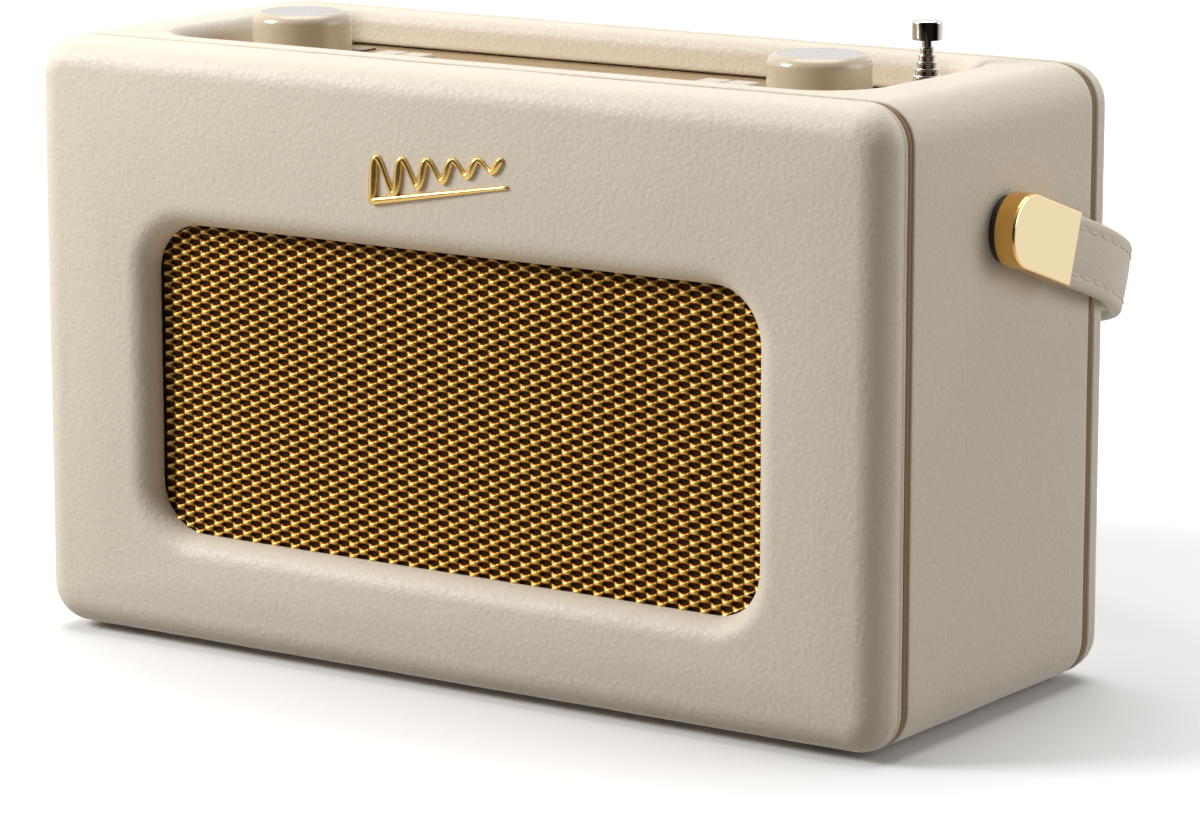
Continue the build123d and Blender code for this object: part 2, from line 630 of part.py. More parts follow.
def make_handle_fittings():
    """Brass end fittings with the pivot pins pressed in, and their bushes in the side boards."""
    tilt = math.radians(HANDLE_TILT)
    pins, bushes = [], []
    for sign, name in ((-1, "left"), (1, "right")):
        side = Plane(
            origin=(sign * FITTING_IN, 0, PIVOT_Z),
            x_dir=(0, math.cos(tilt), -math.sin(tilt)),
            z_dir=(sign, 0, 0),
        )
        body = Pos(FITTING_L / 2, 0) * Rectangle(FITTING_L, FITTING_W)
        fitting = extrude(side * (body + Circle(FITTING_W / 2)), FITTING_OUT - FITTING_IN)
        outer = fitting.faces().sort_by(Axis.X)[-1 if sign > 0 else 0]
        fitting = fillet(outer.edges(), 0.7)
        pocket = Pos((TONGUE_START + FITTING_L + 1) / 2, 0) * Rectangle(
            FITTING_L + 1 - TONGUE_START, TONGUE_W
        )
        pocket_in = STRAP_X - STRAP_T - FITTING_IN
        fitting -= extrude(side.offset(pocket_in) * pocket, STRAP_T)
        pin_out = FITTING_IN + 2.8
        fitting -= rod_x(PIN_R, sign * (FITTING_IN - 1), sign * pin_out, 0, PIVOT_Z)
        NODES[f"handle_fitting_{name}"] = fitting
        pin = rod_x(PIN_R, sign * PIN_IN, sign * pin_out, 0, PIVOT_Z)
        pins.append(pin + rod_x(NUT_R, sign * PIN_IN, sign * (PIN_IN + NUT_T), 0, PIVOT_Z))
        bush = rod_x(BUSH_R, sign * BUSH_IN, sign * BODY_W / 2, 0, PIVOT_Z)
        bush += rod_x(WASHER_R, sign * BODY_W / 2, sign * WASHER_OUT, 0, PIVOT_Z)
        bushes.append(bush - rod_x(PIN_R + PIN_CLEAR, sign * BUSH_IN / 2, sign * BODY_W, 0, PIVOT_Z))
    NODES["handle_pins"] = pins
    NODES["handle_bushes"] = bushes


# ---------------------------------------------------------------- badge, feet, screws
def make_badge():
    """Ornament: a radio wave that dies away, in flat brass wire that starts from a thin bar."""
    def wave(t):
        swing = BADGE_RISE * math.exp(-BADGE_DECAY * t)
        return (BADGE_W * (t - 0.5), -swing * math.cos(2 * math.pi * BADGE_WAVES * t))

    steps = int(BADGE_WAVES * 8)
    line = Spline([wave(i / steps) for i in range(steps + 1)])
    bar = Line((-BADGE_W / 2, -BADGE_RISE), (BADGE_W / 2, -BADGE_RISE))
    ornament = trace(line, BADGE_LINE) + trace(bar, BADGE_LINE)
    placed = Pos(BADGE_X, BADGE_Z) * Rot(0, 0, BADGE_TILT) * ornament
    NODES["badge"] = slab_y(placed, FRONT_Y - BADGE_T, FRONT_Y)


def foot_places():
    return [(i * FOOT_X, j * FOOT_Y) for i in (-1, 1) for j in (-1, 1)]


def make_feet():
    """Four rubber feet, each set through the leathercloth on a stud in the bottom board."""
    feet = []
    for x, y in foot_places():
        foot = rod_z(FOOT_R, -FOOT_H, WRAP_T, x, y)
        foot = fillet(foot.edges().sort_by(Axis.Z)[0], 0.5)
        feet.append(foot + rod_z(SCREW_R, WRAP_T, ROOM_BASE - 2, x, y))
    NODES["feet"] = feet


def make_screws():
    """Rear panel screws, with cross slots."""
    outer = REAR_Y - REAR_RECESS
    screws = []
    for x, z in rear_screw_places():
        screw = rod_y(SCREW_HEAD_R, outer, outer + 1.4, x, z)
        screw += rod_y(SCREW_R, outer - 8, outer, x, z)
        for w, h in ((3.6, 0.8), (0.8, 3.6)):
            screw -= block(x - w / 2, x + w / 2, outer + 0.7, outer + 2, z - h / 2, z + h / 2)
        screws.append(screw)
    NODES["rear_screws"] = screws


def main():
    make_front_frame()
    make_rear_frame()
    make_boards()
    make_sleeve()
    make_baffle()
    make_grille()
    make_speakers()
    make_rear_panel()
    make_battery_door()
    make_battery()
    make_rear_sockets()
    make_control_panel()
    make_display()
    make_main_board()
    make_encoders()
    make_knobs()
    make_buttons()
    make_aerial()
    make_strap()
    make_handle_fittings()
    make_badge()
    make_feet()
    make_screws()
    os.makedirs("parts", exist_ok=True)
    for name, shape in NODES.items():
        solids = shape if isinstance(shape, list) else [shape]
        export_step(Compound(children=[s for part in solids for s in part.solids()]), f"parts/{name}.step")


main()
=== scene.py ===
import json
import math

import bmesh
import bpy
from mathutils import Matrix, Vector, noise


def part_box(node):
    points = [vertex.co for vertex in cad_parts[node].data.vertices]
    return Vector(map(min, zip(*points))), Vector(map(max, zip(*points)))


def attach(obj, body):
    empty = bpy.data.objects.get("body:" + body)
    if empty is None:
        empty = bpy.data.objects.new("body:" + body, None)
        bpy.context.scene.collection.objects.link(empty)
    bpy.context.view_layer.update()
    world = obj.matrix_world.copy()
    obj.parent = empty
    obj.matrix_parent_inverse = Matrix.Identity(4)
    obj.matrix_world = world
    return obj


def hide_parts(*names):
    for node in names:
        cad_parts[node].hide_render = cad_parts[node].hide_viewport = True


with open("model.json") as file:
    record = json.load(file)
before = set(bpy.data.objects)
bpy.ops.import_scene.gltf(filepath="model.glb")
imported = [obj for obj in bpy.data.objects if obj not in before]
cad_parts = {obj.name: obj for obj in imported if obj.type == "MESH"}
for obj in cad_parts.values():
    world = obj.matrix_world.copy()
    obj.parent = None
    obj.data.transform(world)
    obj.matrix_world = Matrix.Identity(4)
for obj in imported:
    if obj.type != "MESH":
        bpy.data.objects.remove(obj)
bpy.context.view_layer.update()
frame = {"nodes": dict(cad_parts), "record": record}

MM = 0.001

# ---------------------------------------------------------------- places taken from the frame
body_lo, body_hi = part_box("front_frame")
HALF_W = body_hi.x
TOP_Z = body_hi.z
MID_Z = TOP_Z / 2
FRONT_Y = body_lo.y
SHELL_Y = -body_hi.y                    # the boards reach this far each way in Y
REAR_Y = -FRONT_Y
SLEEVE_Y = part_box("sleeve_cover")[1].y
panel_lo, panel_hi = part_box("control_panel")
PANEL_GAP = 0.1 * MM
WELL_X = panel_hi.x + PANEL_GAP         # the well's walls, as distances from the middle of the top
WELL_FRONT = -panel_lo.y + PANEL_GAP
WELL_REAR = panel_hi.y + PANEL_GAP
PANEL_TOP = panel_hi.z
grille_lo, grille_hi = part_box("speaker_grille")
badge_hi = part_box("badge")[1]
rear_panel_lo, rear_panel_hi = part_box("rear_panel")
feet_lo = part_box("feet")[0]
strap_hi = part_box("handle_strap")[1]
joint = {j["name"]: j for j in frame["record"]["behaviour"]["joints"]}
PIVOT_Z = joint["handle_swing"]["pos_m"][2]

# ---------------------------------------------------------------- shapes that the CAD model shares
OUTLINE_R = 10.3 * MM
EDGE_R = 8.5 * MM
WRAP_T = 1.5 * MM
REBATE = 3.5 * MM                       # width of the step behind the window's lip
LAP = REBATE - 0.3 * MM                 # the grille reaches this far behind the lip
WINDOW_X = grille_hi.x - LAP
WINDOW_Z = (grille_lo.z + grille_hi.z) / 2
WINDOW_HALF_H = (grille_hi.z - grille_lo.z) / 2 - LAP
WINDOW_R = 13.0 * MM
ROLL_R = 6.5 * MM
REAR_WINDOW_R = 10.0 * MM
REAR_ROLL_R = 3.0 * MM
WELL_R = 14.0 * MM
WELL_ROLL_R = 4.2 * MM
HANDLE_TILT = math.radians(18.2)
STRAP_T = 3.2 * MM
STRAP_HALF_W = 8.75 * MM
STRAP_START = 22.3 * MM
STRAP_STRAIGHT = 33.5 * MM
STRAP_BEND_R = 76.0 * MM
STRAP_BEND = math.radians(47.0)

# ---------------------------------------------------------------- shapes made here only
SHARP_R = 0.8 * MM                      # least corner radius of a padded ring
KNOT_H = 0.85 * MM                      # how far the grille's knots stand out
STITCH_ROW = 5.6 * MM                   # from the strap's middle to each row of stitches
THREAD_R = 0.32 * MM
STITCH_LENGTH = 5.0 * MM
STITCH_PITCH = 6.5 * MM


# ---------------------------------------------------------------- node helpers
def new_material(name):
    material = bpy.data.materials.new(name)
    material.use_nodes = True
    return material, material.node_tree, material.node_tree.nodes["Principled BSDF"]


def add(tree, kind, values=None, **settings):
    """New node with its settings, and its inputs set by name or index."""
    made = tree.nodes.new(kind)
    for key, value in settings.items():
        setattr(made, key, value)
    for key, value in (values or {}).items():
        made.inputs[key].default_value = value
    return made


def link(tree, source, out, target, into):
    tree.links.new(source.outputs[out], target.inputs[into])


def object_coords(tree, stretch=(1, 1, 1)):
    """Object coordinates, which are metres in the object's own frame."""
    coords = add(tree, "ShaderNodeTexCoord")
    mapping = add(tree, "ShaderNodeMapping", {"Scale": stretch})
    link(tree, coords, "Object", mapping, "Vector")
    return mapping


def noise_over(tree, coords, scale, detail):
    """Noise with scale waves in each metre."""
    field = add(tree, "ShaderNodeTexNoise", {"Scale": scale, "Detail": detail})
    link(tree, coords, "Vector", field, "Vector")
    return field


def split_axes(tree, source, out):
    split = add(tree, "ShaderNodeSeparateXYZ")
    link(tree, source, out, split, "Vector")
    return split


def scaled_plus(tree, factor, source, out, base, base_out):
    """factor times one value, plus another value."""
    total = add(tree, "ShaderNodeMath", {1: factor}, operation="MULTIPLY_ADD")
    link(tree, source, out, total, 0)
    link(tree, base, base_out, total, 2)
    return total


def dot_with(tree, source, out, direction):
    """How far a vector goes along a direction."""
    along = add(tree, "ShaderNodeVectorMath", {1: direction}, operation="DOT_PRODUCT")
    link(tree, source, out, along, 0)
    return along


def map_range(tree, source, out, values, **settings):
    mapped = add(tree, "ShaderNodeMapRange", values, **settings)
    link(tree, source, out, mapped, "Value")
    return mapped


def ramp_over(tree, source, out, stops):
    """Colours at (position, colour) stops, picked by a value."""
    ramp = add(tree, "ShaderNodeValToRGB")
    elements = ramp.color_ramp.elements
    for element, (position, colour) in zip(elements, (stops[0], stops[-1])):
        element.position = position
        element.color = (*colour, 1)
    for position, colour in stops[1:-1]:
        elements.new(position).color = (*colour, 1)
    link(tree, source, out, ramp, "Fac")
    return ramp


def colour_over(tree, bsdf, source, out, stops):
    """Base colour picked by a value."""
    ramp = ramp_over(tree, source, out, stops)
    link(tree, ramp, "Color", bsdf, "Base Color")


def roughness_over(tree, bsdf, source, out, low, high):
    """Roughness that goes from one (position, roughness) pair to another as a value rises."""
    ramp = ramp_over(tree, source, out, [(position, (value,) * 3) for position, value in (low, high)])
    link(tree, ramp, "Color", bsdf, "Roughness")


def bump_over(tree, bsdf, source, out, strength, distance, invert=False):
    """Surface relief that follows a value."""
    bump = add(tree, "ShaderNodeBump", {"Strength": strength, "Distance": distance}, invert=invert)
    link(tree, source, out, bump, "Height")
    link(tree, bump, "Normal", bsdf, "Normal")


def shade(colour, factor):
    return tuple(min(1.0, c * factor) for c in colour)


# ---------------------------------------------------------------- materials
def leather(name, colour, grain=820.0, depth=0.09, roughness=0.50, crease_shade=0.05):
    """Grained leathercloth: uneven pebbles with soft creases between them, painted shade that darkens the
    creases a little, fine pores, faint colour drift.

    grain is in pebbles for each metre, depth in millimetres.
    """
    material, tree, bsdf = new_material(name)
    coords = object_coords(tree)
    warp = noise_over(tree, coords, grain * 0.5, 2.0)
    centred = add(tree, "ShaderNodeVectorMath", {1: (0.5, 0.5, 0.5)}, operation="SUBTRACT")
    link(tree, warp, "Color", centred, 0)
    shift = add(tree, "ShaderNodeVectorMath", {"Scale": 0.8 / grain}, operation="SCALE")
    link(tree, centred, "Vector", shift, 0)
    warped = add(tree, "ShaderNodeVectorMath", operation="ADD")
    link(tree, coords, "Vector", warped, 0)
    link(tree, shift, "Vector", warped, 1)
    pebbles = add(tree, "ShaderNodeTexVoronoi", {"Scale": grain, "Smoothness": 0.55}, feature="SMOOTH_F1")
    link(tree, warped, "Vector", pebbles, "Vector")
    groups = noise_over(tree, coords, grain * 0.36, 1.0)
    pores = noise_over(tree, coords, grain * 5.0, 2.0)
    relief = scaled_plus(tree, 0.14, groups, "Fac", pebbles, "Distance")
    height = scaled_plus(tree, 0.06, pores, "Fac", relief, "Value")
    bump_over(tree, bsdf, height, "Value", 1.0, depth * MM, invert=True)
    # painted shade: the colour darkens a little in the creases between the pebbles
    crease_shaded = ramp_over(tree, pebbles, "Distance", [(0.25, colour), (0.95, shade(colour, 1 - crease_shade))])
    drift = noise_over(tree, coords, 9.0, 2.0)
    tone = ramp_over(tree, drift, "Fac", [(0.35, (0.975, 0.972, 0.965)), (0.65, (1.0, 1.0, 1.0))])
    mixed = add(tree, "ShaderNodeMix", {"Factor": 1.0}, data_type="RGBA", blend_type="MULTIPLY")
    link(tree, crease_shaded, "Color", mixed, 6)
    link(tree, tone, "Color", mixed, 7)
    link(tree, mixed, 2, bsdf, "Base Color")
    roughness_over(tree, bsdf, pebbles, "Distance", (0.2, roughness - 0.06), (0.9, roughness + 0.12))
    bsdf.inputs["Specular IOR Level"].default_value = 0.4
    return material


def metal(name, colour, roughness, stretch=(1, 1, 1), scratch=0.02, scale=900.0):
    """Metal with fine marks; a stretch other than even gives it a brushed lay. scratch is in millimetres."""
    material, tree, bsdf = new_material(name)
    coords = object_coords(tree, stretch)
    marks = noise_over(tree, coords, scale, 4.0)
    cloud = noise_over(tree, coords, 60.0, 2.0)
    colour_over(tree, bsdf, cloud, "Fac", [(0.3, shade(colour, 0.95)), (0.7, colour)])
    roughness_over(tree, bsdf, marks, "Fac", (0.3, roughness * 0.8), (0.7, roughness * 1.25))
    bump_over(tree, bsdf, marks, "Fac", 0.25, scratch * MM)
    bsdf.inputs["Metallic"].default_value = 1.0
    return material


def fitting_gold(name):
    """Polished gold plate, deep on the rims; the outer faces, which look along X, are made paler as a
    painted highlight.
    """
    material, tree, bsdf = new_material(name)
    cloud = noise_over(tree, object_coords(tree), 90.0, 2.0)
    geometry = add(tree, "ShaderNodeNewGeometry")
    split = split_axes(tree, geometry, "Normal")
    # painted highlight: faces that look along X get a paler gold
    outward = add(tree, "ShaderNodeMath", operation="ABSOLUTE")
    link(tree, split, "X", outward, 0)
    painted_light_mask = scaled_plus(tree, 0.04, cloud, "Fac", outward, "Value")
    colour_over(tree, bsdf, painted_light_mask, "Value", [
        (0.0, (0.78, 0.46, 0.13)), (0.80, (0.86, 0.54, 0.18)), (0.96, (0.94, 0.77, 0.47)),
    ])
    roughness_over(tree, bsdf, cloud, "Fac", (0.3, 0.07), (0.7, 0.11))
    bsdf.inputs["Metallic"].default_value = 1.0
    return material


def chrome(name):
    """Bright plating with a painted reflection: the dark bands that a cylinder picks up in a studio, painted
    into its colour by which way it faces.
    """
    material, tree, bsdf = new_material(name)
    marks = noise_over(tree, object_coords(tree), 400.0, 2.0)
    geometry = add(tree, "ShaderNodeNewGeometry")
    forward = dot_with(tree, geometry, "Normal", (0.64, -0.76, 0.08))
    painted_light_mask = scaled_plus(tree, 0.04, marks, "Fac", forward, "Value")
    # painted reflection: dark bands in the colour where the surface faces along this direction
    colour_over(tree, bsdf, painted_light_mask, "Value", [
        (0.0, (0.74, 0.73, 0.72)), (0.50, (0.86, 0.85, 0.83)), (0.74, (0.60, 0.57, 0.54)),
        (0.90, (0.035, 0.028, 0.024)), (0.97, (0.02, 0.016, 0.014)), (1.0, (0.10, 0.085, 0.075)),
    ])
    roughness_over(tree, bsdf, marks, "Fac", (0.3, 0.05), (0.7, 0.10))
    bsdf.inputs["Metallic"].default_value = 1.0
    return material


def plastic(name, colour, roughness, coat=0.0, grain=2200.0, depth=0.02, drift=0.05):
    """Moulded plastic, rubber or board: faint mould texture, depth millimetres deep, and colour drift."""
    material, tree, bsdf = new_material(name)
    coords = object_coords(tree)
    texture = noise_over(tree, coords, grain, 3.0)
    cloud = noise_over(tree, coords, 45.0, 2.0)
    colour_over(tree, bsdf, cloud, "Fac", [(0.3, shade(colour, 1 - drift)), (0.7, colour)])
    roughness_over(tree, bsdf, texture, "Fac", (0.3, roughness * 0.9), (0.7, min(1.0, roughness * 1.1)))
    bump_over(tree, bsdf, texture, "Fac", 0.3, depth * MM)
    bsdf.inputs["Coat Weight"].default_value = coat
    bsdf.inputs["Coat Roughness"].default_value = 0.08
    return material


def woven(name, dark, light, pitch):
    """Cloth woven from two sets of threads."""
    material, tree, bsdf = new_material(name)
    split = split_axes(tree, object_coords(tree), "Vector")
    weave = add(tree, "ShaderNodeMath", operation="MULTIPLY")
    for i, axis in enumerate(("X", "Z")):
        turn = add(tree, "ShaderNodeMath", {1: 2 * math.pi / pitch}, operation="MULTIPLY")
        link(tree, split, axis, turn, 0)
        wave = add(tree, "ShaderNodeMath", operation="SINE")
        link(tree, turn, "Value", wave, 0)
        link(tree, wave, "Value", weave, i)
    colour_over(tree, bsdf, weave, "Value", [(0.0, dark), (0.8, light)])
    bump_over(tree, bsdf, weave, "Value", 0.6, 0.1 * MM)
    bsdf.inputs["Roughness"].default_value = 0.9
    bsdf.inputs["Specular IOR Level"].default_value = 0.15
    return material


def mesh_gold(name, front_y, depth):
    """Gold of the grille, with painted shade: gold on the raised knots, darkening to brown towards the back
    of the strands, and a painted shadow under the lip at the left and top.
    """
    material, tree, bsdf = new_material(name)
    coords = object_coords(tree)
    split = split_axes(tree, coords, "Vector")
    level = map_range(tree, split, "Y", {"From Min": front_y + depth, "From Max": front_y})
    flecks = noise_over(tree, coords, 700.0, 2.0)
    height = scaled_plus(tree, 0.25, flecks, "Fac", level, "Result")
    # painted shade: the colour darkens from gold at the front of the knots to brown at the back of the
    # strands
    tone = ramp_over(tree, height, "Value", [
        (0.25, (0.14, 0.050, 0.006)), (0.50, (0.28, 0.12, 0.016)), (0.76, (0.60, 0.32, 0.060)),
        (1.0, (0.88, 0.56, 0.17)),
    ])
    # painted shadow: the lip's shadow on the grille, darkest at the left and top edges of the window
    left = -WINDOW_X
    top = WINDOW_Z + WINDOW_HALF_H
    from_left = map_range(tree, split, "X", {"From Min": left, "From Max": left + 5 * MM, "To Min": 0.12})
    from_top = map_range(tree, split, "Z", {"From Min": top, "From Max": top - 3.5 * MM, "To Min": 0.40})
    lip_shadow = add(tree, "ShaderNodeMath", operation="MULTIPLY")
    link(tree, from_left, "Result", lip_shadow, 0)
    link(tree, from_top, "Result", lip_shadow, 1)
    lip_shadowed = add(tree, "ShaderNodeVectorMath", operation="SCALE")
    link(tree, tone, "Color", lip_shadowed, "Vector")
    link(tree, lip_shadow, "Value", lip_shadowed, "Scale")
    link(tree, lip_shadowed, "Vector", bsdf, "Base Color")
    bsdf.inputs["Metallic"].default_value = 0.85
    bsdf.inputs["Roughness"].default_value = 0.42
    return material


CREAM = (0.79, 0.716, 0.598)
materials = {
    "leathercloth": leather("leathercloth_cream", CREAM),
    "strap_leather": leather("strap_leather", (0.755, 0.685, 0.575), grain=1500.0, depth=0.07),
    "cabinet_board": plastic("board_stained", (0.17, 0.09, 0.04), 0.8, grain=400.0, depth=0.15, drift=0.3),
    "piping": leather("piping_brown", (0.25, 0.155, 0.062), grain=1400.0, depth=0.05, roughness=0.55),
    "grille_brass": mesh_gold("grille_gold", grille_lo.y - KNOT_H, 1.5 * MM),
    "grille_cloth": woven("acoustic_cloth", (0.060, 0.022, 0.006), (0.17, 0.070, 0.020), 0.7 * MM),
    "trim_brass": fitting_gold("gold_fittings"),
    "badge_gold": metal("gold_badge", (0.90, 0.60, 0.20), 0.16, scratch=0.004),
    "panel_brass": metal("brass_satin", (0.50, 0.365, 0.19), 0.26, stretch=(0.05, 1, 1), scratch=0.02),
    "control_plastic": plastic("knob_cream", (0.62, 0.525, 0.375), 0.28, coat=0.35, depth=0.006, drift=0.03),
    "disc_metal": metal("disc_satin", (0.58, 0.555, 0.53), 0.30, scale=1500.0, scratch=0.01),
    "dark_window": plastic("window_black", (0.012, 0.012, 0.014), 0.06, coat=1.0, depth=0.001),
    "moulded_black": plastic("moulded_black", (0.030, 0.026, 0.024), 0.5),
    "rear_plastic": plastic("rear_brown", (0.085, 0.050, 0.030), 0.55, grain=1500.0, depth=0.06),
    "circuit_board": plastic("solder_mask", (0.02, 0.11, 0.05), 0.35),
    "aerial_chrome": chrome("chrome"),
    "steel": metal("zinc_steel", (0.58, 0.57, 0.55), 0.3, scratch=0.02),
    "magnet": plastic("ferrite", (0.05, 0.05, 0.055), 0.6, grain=600.0, depth=0.08),
    "cone_paper": plastic("cone_paper", (0.04, 0.04, 0.04), 0.85, grain=900.0, depth=0.1, drift=0.25),
    "battery_wrap": plastic("shrink_wrap", (0.05, 0.12, 0.35), 0.25, coat=0.4),
    "foot_rubber": plastic("foot_rubber", (0.035, 0.035, 0.035), 0.8, grain=1200.0, depth=0.06),
    "thread": plastic("thread", (0.86, 0.82, 0.74), 0.75, grain=4000.0, depth=0.05),
}


# ---------------------------------------------------------------- mesh helpers
def finish_piece(name, bm, material, body, replaces=(), weld=0.0):
    """Turn a bmesh into a smooth-shaded piece that rides on a body."""
    if weld:
        bmesh.ops.remove_doubles(bm, verts=bm.verts, dist=weld)
    bmesh.ops.recalc_face_normals(bm, faces=bm.faces)
    mesh = bpy.data.meshes.new(name)
    bm.to_mesh(mesh)
    bm.free()
    mesh.materials.append(materials[material])
    mesh.shade_smooth()
    piece = bpy.data.objects.new(name, mesh)
    bpy.context.collection.objects.link(piece)
    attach(piece, body)
    if replaces:
        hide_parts(*replaces)
    return piece


def subdivide(piece):
    """One level of subdivision, in the viewport and in renders alike."""
    modifier = piece.modifiers.new("subdivision", "SUBSURF")
    modifier.levels = 1
    modifier.render_levels = 1


def bridge(bm, loops, close_loops=False):
    """Quads between rings of points that all have the same count."""
    rows = [[bm.verts.new(point) for point in loop] for loop in loops]
    pairs = list(zip(rows, rows[1:]))
    if close_loops:
        pairs.append((rows[-1], rows[0]))
    count = len(rows[0])
    for near, far in pairs:
        for i in range(count):
            j = (i + 1) % count
            bm.faces.new((near[i], near[j], far[j], far[i]))
    return rows


def soften(bm, amount, size):
    """Shift each vertex along its normal by a slow noise, as foam under leather does."""
    bm.normal_update()
    for vert in bm.verts:
        vert.co += vert.normal * amount * noise.noise(vert.co / size)


# ---------------------------------------------------------------- padded frames
CORNER_STEPS = 10
LONG_STEPS = 46
SHORT_STEPS = 26
# The leather's turned edge beside the seam: how far it is set back, and its distance from the seam, in mm
TURNED_EDGE = (
    (1.45, 0.0), (0.95, 0.02), (0.35, 0.20), (0.05, 0.60),
    (0.05, 1.00), (0.30, 1.40), (0.42, 1.70), (0.35, 2.10),
)
TURNED_END = 16                         # degrees round the edge's rounding, where the turned edge stops


def rounded_loop(half_w, half_h, radius, mid_z, y):
    """Rounded rectangle in an X-Z plane, always with the same number of points."""
    points = []
    corners = ((1, 1), (-1, 1), (-1, -1), (1, -1))
    for quarter, (sx, sz) in enumerate(corners):
        cx = sx * (half_w - radius)
        cz = sz * (half_h - radius)
        for i in range(CORNER_STEPS + 1):
            angle = math.pi / 2 * (quarter + i / CORNER_STEPS)
            points.append(Vector((cx + radius * math.cos(angle), y, mid_z + cz + radius * math.sin(angle))))
        nx, nz = corners[(quarter + 1) % 4]
        steps = (LONG_STEPS, SHORT_STEPS)[quarter % 2]
        start = points[-1].copy()
        end_angle = math.pi / 2 * (quarter + 1)
        end = Vector((
            nx * (half_w - radius) + radius * math.cos(end_angle), y,
            mid_z + nz * (half_h - radius) + radius * math.sin(end_angle),
        ))
        points += [start.lerp(end, i / steps) for i in range(1, steps)]
    return points


def padded_frame(name, node, side, window, window_mid, window_r, roll_r, wall_end, crown):
    """Padded ring on the front (side -1) or the back (side 1) of the cabinet.

    window is the opening's half width and half height, wall_end the Y where its wall stops.
    """
    face_y = FRONT_Y if side < 0 else REAR_Y
    inner_y = side * SHELL_Y

    def outer(inset, y):
        radius = max(OUTLINE_R - inset, SHARP_R)
        return rounded_loop(HALF_W - inset, MID_Z - inset, radius, MID_Z, y)

    def opening(grow, y):
        return rounded_loop(window[0] + grow, window[1] + grow, window_r + grow, window_mid, y)

    loops = [outer(inset * MM, inner_y + side * away * MM) for inset, away in TURNED_EDGE]
    arc_y = face_y - side * EDGE_R
    arc_steps = 11
    for i in range(arc_steps + 1):
        angle = math.radians(TURNED_END + (90 - TURNED_END) * i / arc_steps)
        loops.append(outer(EDGE_R * (1 - math.cos(angle)), arc_y + side * EDGE_R * math.sin(angle)))
    rim = (HALF_W - EDGE_R, MID_Z - EDGE_R, SHARP_R, MID_Z)
    roll = (window[0] + roll_r, window[1] + roll_r, window_r + roll_r, window_mid)
    face_steps = 9
    for i in range(1, face_steps):
        t = i / face_steps
        size = [a + (b - a) * t for a, b in zip(rim, roll)]
        loops.append(rounded_loop(*size, face_y + side * crown * math.sin(math.pi * t)))
    roll_steps = 9
    for i in range(roll_steps + 1):
        angle = math.pi / 2 * i / roll_steps
        loops.append(opening(roll_r * (1 - math.sin(angle)), face_y - side * roll_r * (1 - math.cos(angle))))
    loops.append(opening(0, wall_end + side * 0.1 * MM))
    loops.append(opening(1.0 * MM, wall_end))
    loops.append(opening(LAP, wall_end))
    if side < 0:
        loops.append(opening(REBATE - 0.1 * MM, inner_y))
    bm = bmesh.new()
    bridge(bm, loops, close_loops=True)
    soften(bm, 0.10 * MM, 17 * MM)
    soften(bm, 0.04 * MM, 5 * MM)
    piece = finish_piece(name, bm, "leathercloth", "cabinet", replaces=[node])
    subdivide(piece)


padded_frame(
    "front_padding", "front_frame", -1, (WINDOW_X, WINDOW_HALF_H), WINDOW_Z, WINDOW_R, ROLL_R,
    grille_lo.y - 0.03 * MM, 0.35 * MM,
)
padded_frame(
    "rear_padding", "rear_frame", 1,
    (rear_panel_hi.x + 0.2 * MM, (rear_panel_hi.z - rear_panel_lo.z) / 2 + 0.2 * MM),
    MID_Z, REAR_WINDOW_R, REAR_ROLL_R, SHELL_Y, 0.25 * MM,
)


# ---------------------------------------------------------------- sleeve
# The skin's lower end in the well: its distance back from the wall, and its height over the panel, in mm
WELL_FOOT = ((0.0, 2.4), (-0.1, 1.5), (0.0, 0.8), (0.35, 0.25), (0.9, 0.02))


